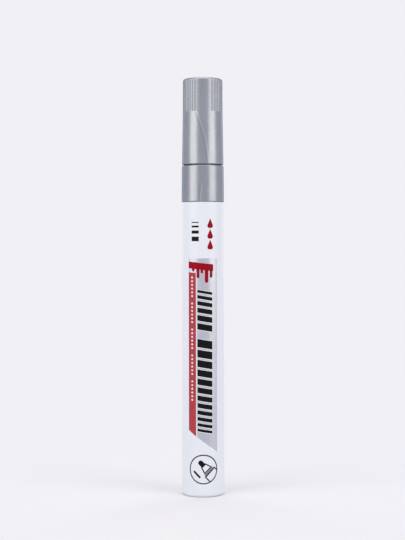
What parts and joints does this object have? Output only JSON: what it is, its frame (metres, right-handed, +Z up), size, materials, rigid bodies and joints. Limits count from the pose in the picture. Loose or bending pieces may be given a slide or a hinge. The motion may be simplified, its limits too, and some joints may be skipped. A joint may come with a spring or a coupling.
{
  "type": "paint marker pen",
  "caption": "Capped valve-action paint marker: a tube barrel with a collar sleeve, a nozzle and a pressed nib, a sprung valve behind it, a loose stirring ball and a pull-off cap.",
  "frame": {"origin": "centre of the foot, on the surface that the marker stands on", "axes": "+Z up along the barrel to the cap's top, -Y out of the printed side, +X to the right as the print is seen"},
  "size_m": [0.0142, 0.0142, 0.138],
  "materials": {
    "lacquered_aluminium": "impact-extruded aluminium under glossy white lacquer, with a thin print on the front",
    "silver_plastic": "moulded plastic with fine metal flake, satin silver grey with faint flow lines",
    "natural_plastic": "undyed moulded plastic, satin",
    "liner_plastic": "soft translucent polyethylene, satin",
    "nib_fibre": "bonded synthetic fibre, unused and off-white",
    "seal_rubber": "black sealing rubber",
    "spring_steel": "drawn stainless spring wire",
    "polished_steel": "polished stainless ball"
  },
  "bodies": {
    "pen_body": {"barrel": "lacquered_aluminium", "collar_sleeve": "silver_plastic", "nozzle": "natural_plastic", "valve_gasket": "seal_rubber", "valve_seat": "natural_plastic", "spring_retainer": "natural_plastic", "valve_spring": "spring_steel"},
    "cap": {"cap_shell": "silver_plastic", "inner_cap": "liner_plastic"},
    "nib_body": {"nib": "nib_fibre"},
    "stem_body": {"valve_stem": "natural_plastic"},
    "ball_body": {"mixing_ball": "polished_steel"}
  },
  "joints": [
    {"name": "cap_pull", "type": "slide", "parent": "pen_body", "child": "cap", "axis": [0, 0, 1], "range_m": [0, 0.035]},
    {"name": "nib_press", "type": "slide", "parent": "pen_body", "child": "nib_body", "axis": [0, 0, -1], "range_m": [0, 0.0015], "stiffness_N_per_m": 300, "springref_m": -0.002},
    {"name": "valve_open", "type": "slide", "parent": "pen_body", "child": "stem_body", "axis": [0, 0, -1], "range_m": [0, 0.0015], "deforming": ["valve_spring"]},
    {"name": "ball_travel", "type": "slide", "parent": "pen_body", "child": "ball_body", "axis": [0, 0, 1], "range_m": [0, 0.0798]}
  ],
  "couplings": [
    {"joint": "valve_open", "follows": "nib_press", "ratio": 1}
  ]
}
